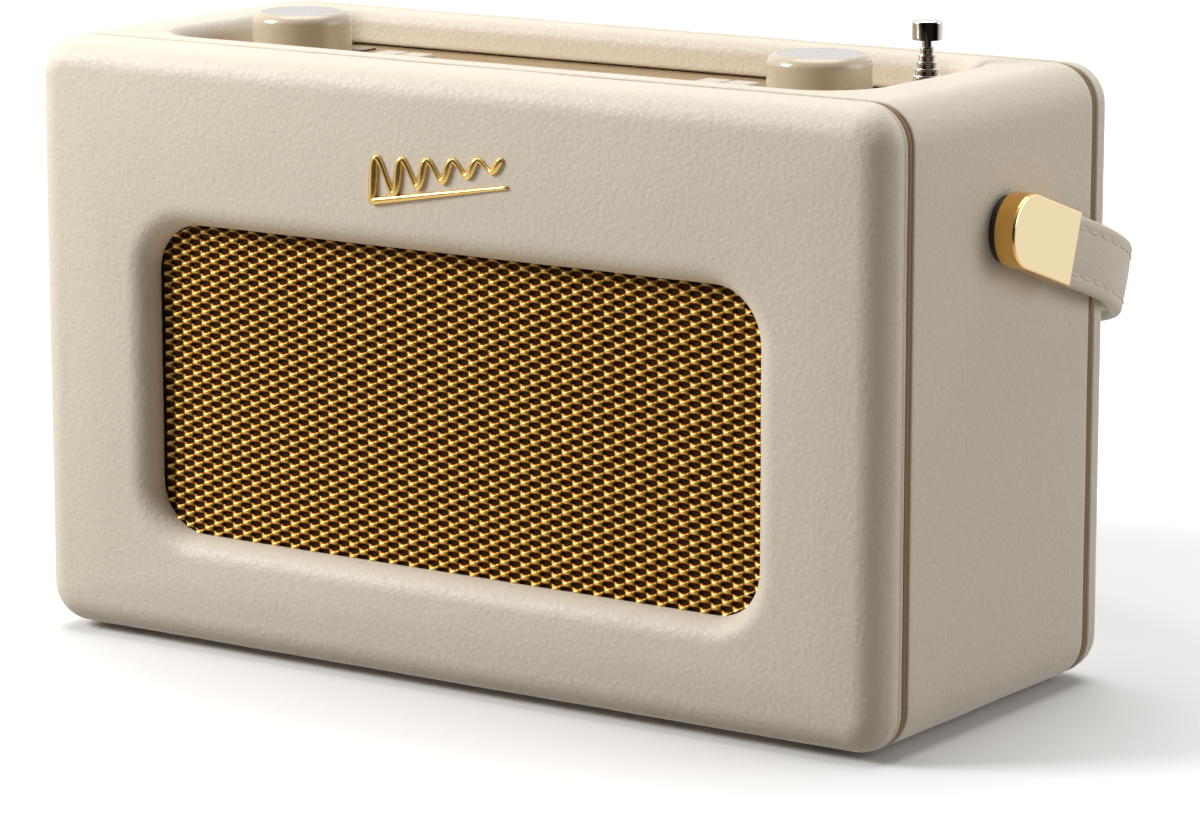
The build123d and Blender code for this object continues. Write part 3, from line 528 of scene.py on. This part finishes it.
def make_sleeve():
    """Leathercloth round the sides, with a soft roll down into the control well."""
    lip_y = SLEEVE_Y - 0.45 * MM
    flat_x = HALF_W - OUTLINE_R
    arc_x = WELL_X - WELL_R
    corner_steps = 12
    turn_steps = 8
    roll_steps = 8
    same = 1e-6                         # points nearer than this are one point

    def corner(wall, radius):
        """One corner of the well, from its X side round to its Y side; no radius gives the top's edge."""
        arc_y = wall - WELL_R
        bend = math.atan2(lip_y - arc_y, flat_x - arc_x)
        half = corner_steps // 2
        points = []
        for i in range(corner_steps + 1):
            angle = bend * i / half if i <= half else bend + (math.pi / 2 - bend) * (i - half) / half
            if radius is not None:
                points.append((arc_x + radius * math.cos(angle), arc_y + radius * math.sin(angle)))
            elif i <= half:
                points.append((flat_x, arc_y + (flat_x - arc_x) * math.tan(angle)))
            else:
                points.append((arc_x + (lip_y - arc_y) / math.tan(angle), lip_y))
        return points

    def plan_loop(radius, z):
        rear, front = corner(WELL_REAR, radius), corner(WELL_FRONT, radius)
        corners = (
            rear, [(-x, y) for x, y in reversed(rear)],
            [(-x, -y) for x, y in front], [(x, -y) for x, y in reversed(front)],
        )
        points = []
        for i, count in enumerate((44, 12, 44, 12)):
            points += corners[i]
            (x0, y0), (x1, y1) = corners[i][-1], corners[(i + 1) % 4][0]
            points += [(x0 + (x1 - x0) * k / count, y0 + (y1 - y0) * k / count) for k in range(1, count)]
        return [Vector((x, y, z)) for x, y in points]

    bm = bmesh.new()
    top_edge = plan_loop(None, TOP_Z)
    loops = [top_edge]
    for i in range(roll_steps + 1):
        angle = math.pi / 2 * i / roll_steps
        grow = WELL_ROLL_R * (1 - math.sin(angle))
        loops.append(plan_loop(WELL_R + grow, TOP_Z - WELL_ROLL_R * (1 - math.cos(angle))))
    loops += [plan_loop(WELL_R + back * MM, PANEL_TOP + height * MM) for back, height in WELL_FOOT]
    bridge(bm, loops)

    row_y = sorted({round(p.y, 7) for p in top_edge if abs(p.x - flat_x) < same})
    outline = []
    for sx, sz, start in ((1, 1, 90), (1, -1, 0), (-1, -1, -90), (-1, 1, -180)):
        centre = Vector((sx * flat_x, 0, MID_Z + sz * (MID_Z - OUTLINE_R)))
        turn = []
        for i in range(turn_steps + 1):
            angle = math.radians(start - 90 * i / turn_steps)
            out = Vector((math.cos(angle), 0, math.sin(angle)))
            turn.append((centre + out * OUTLINE_R, out))
        if outline:
            previous, out = outline[-1]
            count = 24 if sx * sz < 0 else 40
            outline += [(previous.lerp(turn[0][0], i / count), out) for i in range(1, count)]
        outline += turn
    rows = [[bm.verts.new(point + Vector((0, y, 0))) for y in row_y] for point, _ in outline]
    for near, far in zip(rows, rows[1:]):
        for i in range(len(row_y) - 1):
            bm.faces.new((near[i], near[i + 1], far[i + 1], far[i]))
    for sign in (-1, 1):
        row_x = sorted({round(p.x, 7) for p in top_edge if abs(p.y - sign * lip_y) < same})
        closed = outline + [(Vector((x, 0, TOP_Z)), Vector((0, 0, 1))) for x in row_x[1:-1]]
        lip = []
        for y, inset in (
            (lip_y, 0.0), (SLEEVE_Y - 0.15 * MM, 0.12 * MM), (SLEEVE_Y, 0.45 * MM), (SLEEVE_Y, WRAP_T)
        ):
            across = Vector((0, sign * y, 0))
            lip.append([point - out * inset + across for point, out in closed])
        bridge(bm, lip)
    bmesh.ops.remove_doubles(bm, verts=bm.verts, dist=same)
    soften(bm, 0.10 * MM, 21 * MM)
    piece = finish_piece(
        "sleeve_leather", bm, "leathercloth", "cabinet", replaces=["sleeve_cover"]
    )
    subdivide(piece)


make_sleeve()


def make_piping():
    """Brown piping laid in the groove on each side of the sleeve."""
    half_high, half_wide = 0.60 * MM, 1.12 * MM
    inset = 0.95 * MM
    sides = 12
    for sign, name in ((-1, "piping_front"), (1, "piping_rear")):
        groove_y = sign * (SHELL_Y + SLEEVE_Y) / 2
        rings = []
        for k in range(sides):
            angle = 2 * math.pi * k / sides
            out = half_high * math.cos(angle) - inset
            y = groove_y + half_wide * math.sin(angle)
            rings.append(rounded_loop(HALF_W + out, MID_Z + out, OUTLINE_R + out, MID_Z, y))
        bm = bmesh.new()
        bridge(bm, rings, close_loops=True)
        finish_piece(name, bm, "piping", "cabinet")


make_piping()


# ---------------------------------------------------------------- grille
def make_grille():
    """Pressed mesh: a staggered lattice of almond holes, with a raised knot where four of them meet."""
    pitch_x, pitch_z = 6.1 * MM, 2.91 * MM
    hole_x, hole_z = 1.62 * MM, 0.58 * MM
    pointed = 1.2                       # 1 makes the holes oval, more makes their ends sharper
    strands = ((0.95 * MM, -0.35 * MM), (1.05 * MM, -0.22 * MM))    # reach of the knots, level between them
    per_side = 4
    front, back = grille_lo.y, grille_hi.y
    edge_x = grille_hi.x - pitch_x / 2
    edge_z = (grille_hi.z - grille_lo.z) / 2 - pitch_z / 2
    corner_r = WINDOW_R + LAP

    def inside(x, z):
        dx = max(abs(x) - (edge_x - corner_r), 0)
        dz = max(abs(z) - (edge_z - corner_r), 0)
        return abs(x) <= edge_x and abs(z) <= edge_z and math.hypot(dx, dz) <= corner_r

    def hole_edge(turn):
        c, s = math.cos(turn), math.sin(turn)
        x = math.copysign(abs(c) ** pointed, c) * hole_x
        z = math.copysign(abs(s) ** (2 - pointed), s) * hole_z
        return x, z

    corners = ((pitch_x / 2, 0), (0, pitch_z / 2), (-pitch_x / 2, 0), (0, -pitch_z / 2))
    cell = []
    for k in range(4):
        (x0, z0), (x1, z1) = corners[k], corners[(k + 1) % 4]
        reach, level = strands[k % 2]
        for i in range(per_side):
            t = i / per_side
            from_knot = min(t, 1 - t) * math.hypot(x1 - x0, z1 - z0)
            rise = level + (KNOT_H - level) * math.exp(-((from_knot / reach) ** 2))
            border = (x0 + (x1 - x0) * t, z0 + (z1 - z0) * t)
            cell.append((border, hole_edge(2 * math.pi * (k + t) / 4), rise))
    # From the border to the hole: how far along, fixed depth behind the front, and share of the knot's rise
    slope = ((0.0, 0.0, 1.0), (0.42, 0.02 * MM, 0.8), (0.85, 0.25 * MM, 0.25), (1.0, 0.5 * MM, 0.0))
    bm = bmesh.new()
    half_rows = int(edge_z / (pitch_z / 2)) + 1
    half_columns = int(edge_x / (pitch_x / 2)) + 1
    for row in range(-half_rows, half_rows + 1):
        for column in range(-half_columns, half_columns + 1):
            x, z = column * pitch_x / 2, row * pitch_z / 2
            if (row + column) % 2 or not inside(x, z):
                continue
            loops = []
            for part, depth, share in slope:
                loop = []
                for (bx, bz), (hx, hz), rise in cell:
                    across, up = bx + (hx - bx) * part, bz + (hz - bz) * part
                    loop.append(Vector((x + across, front + depth - rise * share, WINDOW_Z + z + up)))
                loops.append(loop)
            loops.append([Vector((x + bx, back, WINDOW_Z + z + bz)) for (bx, bz), _, _ in cell])
            bridge(bm, loops)
    finish_piece(
        "grille_mesh", bm, "grille_brass", "cabinet",
        replaces=["speaker_grille"], weld=0.01 * MM
    )


make_grille()


# ---------------------------------------------------------------- badge and aerial
def tube(bm, points, radii, sides=10, flatten=1.0, flat_axis=Vector((0, 1, 0))):
    """Closed tube through points, with a radius for each; flatten squeezes it along flat_axis."""
    rings = []
    count = len(points)
    for i, point in enumerate(points):
        along = (points[min(i + 1, count - 1)] - points[max(i - 1, 0)]).normalized()
        side = along.cross(flat_axis).normalized()
        up = side.cross(along).normalized()
        ring = []
        for k in range(sides):
            angle = 2 * math.pi * k / sides
            ring.append(point + radii[i] * (side * math.cos(angle) + up * flatten * math.sin(angle)))
        rings.append(ring)
    rows = bridge(bm, rings)
    bm.faces.new(rows[0])
    bm.faces.new(rows[-1])


def rounded_ends(count, radius, steps):
    """Radii that close a tube of count points with round ends."""
    radii = [radius] * count
    for i in range(steps):
        size = radius * math.sin(math.pi / 2 * (i + 0.6) / (steps + 0.6))
        radii[i] = size
        radii[-1 - i] = size
    return radii


def make_badge():
    """Ornament: a radio wave that dies away over a thin bar, in cast brass."""
    width, waves, rise, decay = 41.0 * MM, 5.5, 5.5 * MM, 1.5
    line = 0.95 * MM
    flatten = 0.8
    tilt = Matrix.Rotation(math.radians(-9.5), 4, "Y")
    centre = Vector((0.7 * MM, badge_hi.y - 0.62 * MM, 127.5 * MM))
    steps = 260
    points, radii = [], []
    for i in range(steps + 1):
        t = i / steps
        swing = rise * math.exp(-decay * t)
        phase = 2 * math.pi * waves * t
        points.append(centre + tilt @ Vector((width * (t - 0.5), 0, -swing * math.cos(phase))))
        radii.append(line * (1.0 + 0.28 * math.sin(phase) - 0.18 * t))
    for i in range(4):
        radii[-1 - i] *= (i + 0.5) / 4
    bm = bmesh.new()
    tube(bm, points, radii, flatten=flatten)
    bar_steps = 60
    bar, bar_radii = [], []
    for i in range(bar_steps + 1):
        t = i / bar_steps
        bar.append(centre + tilt @ Vector((width * (t - 0.5), 0, -rise)))
        bar_radii.append(line * (1.05 - 0.55 * t))
    bar_radii[0] *= 0.5
    tube(bm, bar, bar_radii, flatten=flatten)
    finish_piece("badge_ornament", bm, "badge_gold", "cabinet", replaces=["badge"])


make_badge()


# Section of a tube's rolled mouth: how far outside the tube, and its height over the tube's end, in mm
LIP_SECTION = (
    (0.0, -0.55), (0.16, -0.45), (0.22, -0.25), (0.16, -0.05), (0.02, 0.04), (-0.14, 0.02), (-0.2, -0.1),
)


def make_aerial_lips():
    """Rolled mouth of each aerial tube."""
    sides = 32
    for name in ["aerial_tube"] + [f"aerial_section_{i}" for i in range(1, 6)]:
        low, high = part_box(name)
        tube_r = (high.x - low.x) / 2
        centre = (low + high) / 2
        rings = []
        for grow, rise in LIP_SECTION:
            radius = tube_r + grow * MM
            z = high.z + rise * MM
            turns = [2 * math.pi * k / sides for k in range(sides)]
            rings.append([
                Vector((centre.x + radius * math.cos(turn), centre.y + radius * math.sin(turn), z))
                for turn in turns
            ])
        bm = bmesh.new()
        bridge(bm, rings, close_loops=True)
        body = "cabinet" if name == "aerial_tube" else name
        finish_piece(f"{name}_lip", bm, "aerial_chrome", body)


make_aerial_lips()


# ---------------------------------------------------------------- handle strap
# A quarter of the strap's section: each point is a distance in mm and a share of the half thickness. The
# distances are from the strap's side, from the row of stitches and from the strap's middle.
TURNED_SIDE = ((0.0, 0.0), (0.12, 0.55), (0.55, 0.86), (1.4, 1.0))
SEWN_CHANNEL = ((0.75, 1.0), (0.3, 0.88), (0.0, 0.80), (-0.3, 0.88), (-0.85, 1.0))
MIDDLE = ((2.4, 1.06), (0.0, 1.08))


def strap_arc(x, reach, radius, start, end, step):
    """Points on an arc of the strap's centre line, which heads at angle start at (x, reach)."""
    count = round(radius * (end - start) / step)
    points = []
    for i in range(count + 1):
        angle = start + (end - start) * i / count
        across = x - radius * (math.cos(start) - math.cos(angle))
        points.append((across, reach + radius * (math.sin(angle) - math.sin(start)), angle))
    return points


def strap_path(step):
    """Centre line in the handle's plane: (across, reach, heading) from the right fitting to the left."""
    side_x = strap_hi.x - STRAP_T / 2
    length = STRAP_STRAIGHT - STRAP_START
    count = max(2, round(length / step))
    straight = [(side_x, STRAP_START + length * i / count, 0.0) for i in range(count)]
    bend = strap_arc(side_x, STRAP_STRAIGHT, STRAP_BEND_R, 0.0, STRAP_BEND, step)
    bend_x, bend_reach, _ = bend[-1]
    arch = strap_arc(bend_x, bend_reach, bend_x / math.cos(STRAP_BEND), STRAP_BEND, math.pi / 2, step)
    half = straight + bend[:-1] + arch
    return half + [(-x, reach, math.pi - heading) for x, reach, heading in reversed(half[:-1])]


def strap_point(across, reach, heading, out, up):
    """Point at rest: out from the strap's centre line, up across its width."""
    arm = Vector((0, math.cos(HANDLE_TILT), -math.sin(HANDLE_TILT)))
    normal = Vector((0, math.sin(HANDLE_TILT), math.cos(HANDLE_TILT)))
    outward = Vector((math.cos(heading), 0, 0)) + arm * math.sin(heading)
    return Vector((across, 0, PIVOT_Z)) + arm * reach + outward * out + normal * up


def make_strap():
    """Strap of two leather layers with turned edges and a sewn channel each side."""
    face = [(STRAP_HALF_W - inward * MM, out) for inward, out in TURNED_SIDE]
    face += [(STITCH_ROW + away * MM, out) for away, out in SEWN_CHANNEL]
    face += [(up * MM, out) for up, out in MIDDLE]
    section = [(up, STRAP_T / 2 * out) for up, out in face]
    section += [(-up, out) for up, out in reversed(section[:-1])]
    section += [(up, -out) for up, out in reversed(section[1:-1])]
    bm = bmesh.new()
    rows = bridge(bm, [
        [strap_point(x, reach, heading, out, up) for up, out in section]
        for x, reach, heading in strap_path(2.2 * MM)
    ])
    bm.faces.new(rows[0])
    bm.faces.new(rows[-1])
    soften(bm, 0.05 * MM, 9 * MM)
    piece = finish_piece(
        "strap_cover", bm, "strap_leather", "handle", replaces=["handle_strap"]
    )
    subdivide(piece)


def make_stitches():
    """Thread in the strap's sewn channels, one short run for each stitch, on both faces."""
    step = 0.5 * MM
    channel_out = STRAP_T / 2 * 0.86 + 0.10 * MM
    end_sink = 0.30 * MM                # how far a stitch's ends dip into their holes
    fine = strap_path(step)
    stitch = round(STITCH_LENGTH / step)
    pitch = round(STITCH_PITCH / step)
    margin = 3                          # steps left bare at each end of the strap
    radii = rounded_ends(stitch, THREAD_R, 2)
    bm = bmesh.new()
    for side in (-1, 1):
        for row in (-1, 1):
            for start in range(margin, len(fine) - stitch - margin, pitch):
                points = []
                for i, (x, reach, heading) in enumerate(fine[start:start + stitch]):
                    sink = end_sink * (2 * i / (stitch - 1) - 1) ** 4
                    out = side * (channel_out - sink)
                    points.append(strap_point(x, reach, heading, out, row * STITCH_ROW))
                tube(bm, points, radii, sides=6, flat_axis=Vector((0.3, 0.2, 0.9)))
    finish_piece("strap_stitching", bm, "thread", "handle")


make_strap()
make_stitches()


# ---------------------------------------------------------------- carried-over CAD nodes
for row in frame["record"]["subparts"]:
    obj = frame["nodes"][row["node"]]
    obj.data.materials.clear()
    obj.data.materials.append(materials[row["material_slot"]])


# ---------------------------------------------------------------- stage, light, camera
def mix_by_ray(tree, ray, off, on):
    """Join two shaders so that the second is used for rays of the named kind."""
    path = add(tree, "ShaderNodeLightPath")
    mixed = add(tree, "ShaderNodeMixShader")
    link(tree, path, ray, mixed, "Fac")
    link(tree, off, 0, mixed, 1)
    link(tree, on, 0, mixed, 2)
    return mixed


def floor_material():
    """White, fading to a glow away from the radio.

    As a light it is dim, so that the cabinet's lower edges stay dark. Polished parts see it end in front.
    """
    material, tree, bsdf = new_material("floor_white")
    coords = object_coords(tree)
    cloud = noise_over(tree, coords, 3.0, 1.0)
    colour_over(tree, bsdf, cloud, "Fac", [(0.3, (0.95, 0.95, 0.95)), (0.7, (0.97, 0.97, 0.97))])
    bsdf.inputs["Roughness"].default_value = 0.7
    bsdf.inputs["Specular IOR Level"].default_value = 0.2
    away = add(tree, "ShaderNodeVectorMath", operation="LENGTH")
    link(tree, coords, "Vector", away, 0)
    glow = map_range(
        tree, away, "Value", {"From Min": 0.16, "From Max": 0.60, "To Max": 0.5},
        interpolation_type="SMOOTHSTEP"
    )
    bsdf.inputs["Emission Color"].default_value = (1, 1, 1, 1)
    link(tree, glow, "Result", bsdf, "Emission Strength")
    dim = add(tree, "ShaderNodeBsdfDiffuse", {"Color": (0.34, 0.31, 0.27, 1)})
    seen_or_lit = mix_by_ray(tree, "Is Diffuse Ray", bsdf, dim)
    ahead = dot_with(tree, coords, "Vector", (0.57, -0.82, 0.0))
    end = ramp_over(tree, ahead, "Value", [(0.12, (0.90, 0.90, 0.90)), (0.40, (0.10, 0.09, 0.08))])
    mirrored = add(tree, "ShaderNodeEmission", {"Strength": 1.0})
    link(tree, end, "Color", mirrored, "Color")
    whole = mix_by_ray(tree, "Is Glossy Ray", seen_or_lit, mirrored)
    link(tree, whole, 0, tree.nodes["Material Output"], "Surface")
    return material


def make_floor():
    bm = bmesh.new()
    bmesh.ops.create_grid(bm, x_segments=2, y_segments=2, size=12.0)
    mesh = bpy.data.meshes.new("floor")
    bm.to_mesh(mesh)
    bm.free()
    floor = bpy.data.objects.new("floor", mesh)
    floor.location.z = feet_lo.z
    bpy.context.collection.objects.link(floor)
    mesh.materials.append(floor_material())


def make_world():
    """White backdrop; as a light it is dim, and dimmest low down in front of the radio."""
    world = bpy.data.worlds.new("studio")
    world.use_nodes = True
    bpy.context.scene.world = world
    tree = world.node_tree
    coords = add(tree, "ShaderNodeTexCoord")
    ahead = dot_with(tree, coords, "Generated", (0.52, -0.80, -0.30))
    tones = ramp_over(tree, ahead, "Value", [
        (0.0, (1.0, 1.0, 1.0)), (0.45, (0.30, 0.28, 0.25)), (0.85, (0.04, 0.032, 0.024)),
    ])
    lighting = tree.nodes["Background"]
    link(tree, tones, "Color", lighting, "Color")
    path = add(tree, "ShaderNodeLightPath")
    strength = map_range(tree, path, "Is Glossy Ray", {"To Min": 0.16, "To Max": 1.0})
    link(tree, strength, "Result", lighting, "Strength")
    white = add(tree, "ShaderNodeBackground", {"Color": (1.0, 1.0, 1.0, 1), "Strength": 1.05})
    whole = mix_by_ray(tree, "Is Camera Ray", lighting, white)
    link(tree, whole, 0, tree.nodes["World Output"], "Surface")


def place_light(name, kind, aim_from, distance, **settings):
    """Light on the side that aim_from points to, shining at the radio's middle."""
    light = bpy.data.lights.new(name, kind)
    for key, value in settings.items():
        setattr(light, key, value)
    lamp = bpy.data.objects.new(name, light)
    direction = Vector(aim_from).normalized()
    lamp.location = direction * distance + Vector((0, 0, MID_Z))
    lamp.rotation_mode = "QUATERNION"
    lamp.rotation_quaternion = direction.to_track_quat("Z", "Y")
    lamp.visible_camera = False
    bpy.context.collection.objects.link(lamp)


def make_lights():
    """Soft box on the left in front, broad light from above, and a weaker box behind on the right."""
    place_light(
        "key", "AREA", (-0.66, -0.56, 0.50), 1.15, energy=11.2, shape="RECTANGLE", size=0.45, size_y=0.45
    )
    place_light("above", "SUN", (-0.15, 0.22, 1.0), 2.0, energy=2.1, angle=math.radians(50))
    place_light(
        "side", "AREA", (0.86, 0.42, 0.30), 1.20, energy=4.0, shape="RECTANGLE", size=0.8, size_y=0.7
    )


def make_camera():
    data = bpy.data.cameras.new("camera")
    data.sensor_width = 36.0
    data.lens = 147.7
    camera = bpy.data.objects.new("camera", data)
    place = Vector((0.6896, -0.9935, 0.3003))
    target = Vector((0.0076, 0.0052, 0.0609))
    camera.location = place
    camera.rotation_mode = "QUATERNION"
    camera.rotation_quaternion = (place - target).to_track_quat("Z", "Y")
    bpy.context.collection.objects.link(camera)
    bpy.context.scene.camera = camera


make_floor()
make_world()
make_lights()
make_camera()
bpy.context.scene.view_settings.view_transform = "Standard"
